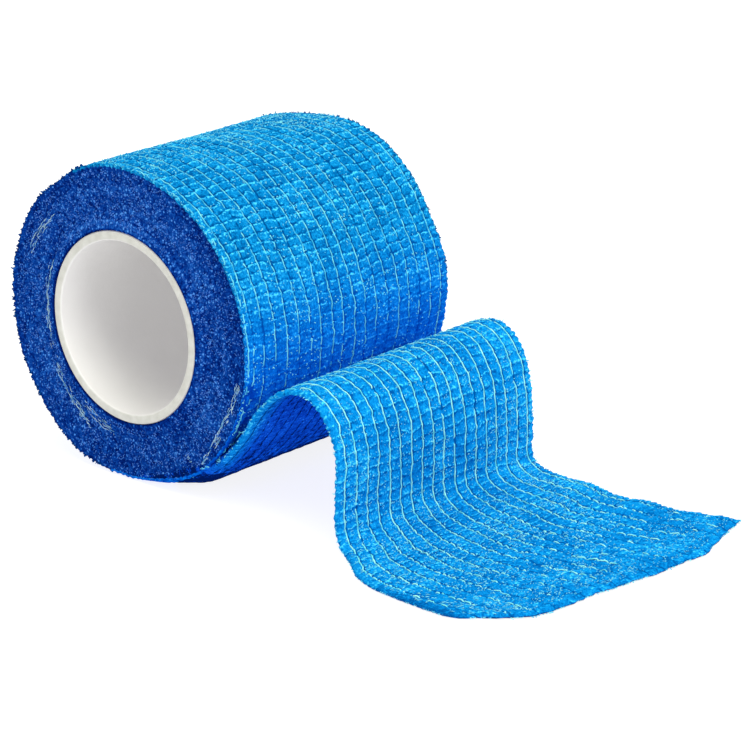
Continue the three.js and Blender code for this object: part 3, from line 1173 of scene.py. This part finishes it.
def end_flecks():
    """Cut fibre ends that show as flecks on the near end."""
    rng = np.random.default_rng(37)
    count = 5200
    arc = rng.uniform(0, TURN_LENGTH, count)
    r = rng.uniform(WOUND_INSIDE + 0.8, ROLL_RADIUS - 0.7, count)
    lengths = rng.uniform(0.15, 0.35, count)
    lying = flecks(end_place, arc, r, lengths, rng, -0.2, (0.08, 0.14))
    return new_piece("end_flecks", *lying, violet_fibre)


def wisp_strand(wisp, strand, rng):
    """One strand of a wisp, a little shorter than it, and straying in and out."""
    radii, angles = np.array(wisp, float).T
    start, stop = 0.4 * rng.random(), len(wisp) - 1 - 0.4 * rng.random()
    share = np.linspace(start, stop, 50)
    arc = arc_at(np.interp(share, np.arange(len(wisp)), angles))
    r = np.interp(share, np.arange(len(wisp)), radii)
    r = r + rng.normal(0, 0.45) + 0.16 * kinked(share * 6, 1.0, Seed.WISP_KINKS + strand)
    lift = -0.07 + 0.42 * line_noise(arc, 5.3 * strand, 1.1, Seed.WISP_LIFT)
    return thread_tube(end_place, arc, r, lift, 0.045)


def end_wisps():
    """Wisps of torn thread that cling to the near end, each of a few broken strands."""
    rng = np.random.default_rng(41)
    parts = [wisp_strand(wisp, strand, rng) for wisp in WISPS for strand in range(WISP_STRANDS)]
    return new_piece("end_wisps", *joined(parts), wisp_fibre)


# The core tube

CORE_BEND = 0.45
CORE_SIDES = 160


def core_tube():
    """The tube, its rims rounded over. Its ends are marked as cut."""
    inner, outer = CORE_RADIUS - CORE_WALL + CORE_BEND, CORE_RADIUS - CORE_BEND
    end = CORE_END - CORE_BEND
    corners = [(inner, -end, 180), (outer, -end, 270), (outer, end, 0), (inner, end, 90)]
    radius, y = np.array([
        (r + CORE_BEND * math.cos(turn), along + CORE_BEND * math.sin(turn))
        for r, along, first in corners for turn in np.radians(np.linspace(first, first + 90, 6))]).T
    degrees = np.arange(CORE_SIDES)[:, None] * 360 / CORE_SIDES
    points = round_points(radius[None, :], y[None, :], degrees)
    faces = ring_faces(CORE_SIDES, len(y), close_rows=True)
    cut = ease(np.abs(points[..., 1]), CORE_END - 0.15, CORE_END - 0.03)
    return new_piece("core_tube", points.reshape(-1, 3), faces, core_material(), cut=cut)


# The stage: sizes are in metres here, angles in degrees

FLOOR_REACH = 3.0
WORLD_STRENGTH = 0.75
WARM, WHITE = (1.0, 1.0, 0.78), (1.0, 1.0, 1.0)


def floor():
    reach = FLOOR_REACH
    corners = [(-reach, -reach, 0), (reach, -reach, 0), (reach, reach, 0), (-reach, reach, 0)]
    mesh = bpy.data.meshes.new("floor")
    mesh.from_pydata(corners, [], [(0, 1, 2, 3)])
    mesh.materials.append(floor_material())
    piece = new_object("floor", mesh)


def sun(name, towards_light, spread, strength, colour):
    """A wide soft light from far away. spread is its width in degrees."""
    data = bpy.data.lights.new(name, "SUN")
    data.angle = math.radians(spread)
    data.energy = strength
    data.color = colour
    light = new_object(name, data)
    light.rotation_euler = Vector(towards_light).to_track_quat("Z", "Y").to_euler()


def studio():
    """Even white light all round, one from above and a fainter one from the right."""
    world = bpy.data.worlds.new("studio")
    world.use_nodes = True
    background = world.node_tree.nodes["Background"]
    background.inputs["Color"].default_value = (1, 1, 1, 1)
    background.inputs["Strength"].default_value = WORLD_STRENGTH
    bpy.context.scene.world = world
    sun("key", towards_light=(0.3, 0.0, 1.0), spread=60, strength=1.95, colour=WARM)
    sun("side", towards_light=(1.0, -0.19, 0.6), spread=22, strength=0.72, colour=WHITE)
    bpy.context.scene.view_settings.view_transform = "Standard"


def camera():
    """Level camera at the photograph's angle, found from the roll's two ends and its edges."""
    azimuth, elevation = math.radians(41.47), math.radians(19.35)
    distance, right_shift, up_shift = 592.63, 24.98, 11.55
    right = Vector((math.cos(azimuth), math.sin(azimuth), 0))
    back = Vector((math.sin(azimuth) * math.cos(elevation),
                   -math.cos(azimuth) * math.cos(elevation), math.sin(elevation)))
    up = back.cross(right)
    place = (right * right_shift + up * up_shift + back * distance) * MM
    data = bpy.data.cameras.new("camera")
    data.sensor_width = 36
    data.lens = 162.66
    data.clip_start = 0.01
    data.clip_end = 20
    made = new_object("camera", data)
    axes = Matrix((right, up, back)).transposed().to_4x4()
    made.matrix_world = Matrix.Translation(place) @ axes
    bpy.context.scene.camera = made


camera()
studio()
floor()

tube = core_tube()
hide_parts("core")

turns = wound_turns()
turn_threads = roll_threads()
turn_fibres = roll_fibres()
near_fuzz = shaded_fuzz()
near_flecks = end_flecks()
near_wisps = end_wisps()
end = loose_end()
end_threads = loose_threads()
edge_fibres = loose_end_fibres()
for piece in (turns, turn_threads, turn_fibres, near_fuzz, near_flecks, near_wisps,
              end, end_threads, edge_fibres):
    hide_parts("bandage")
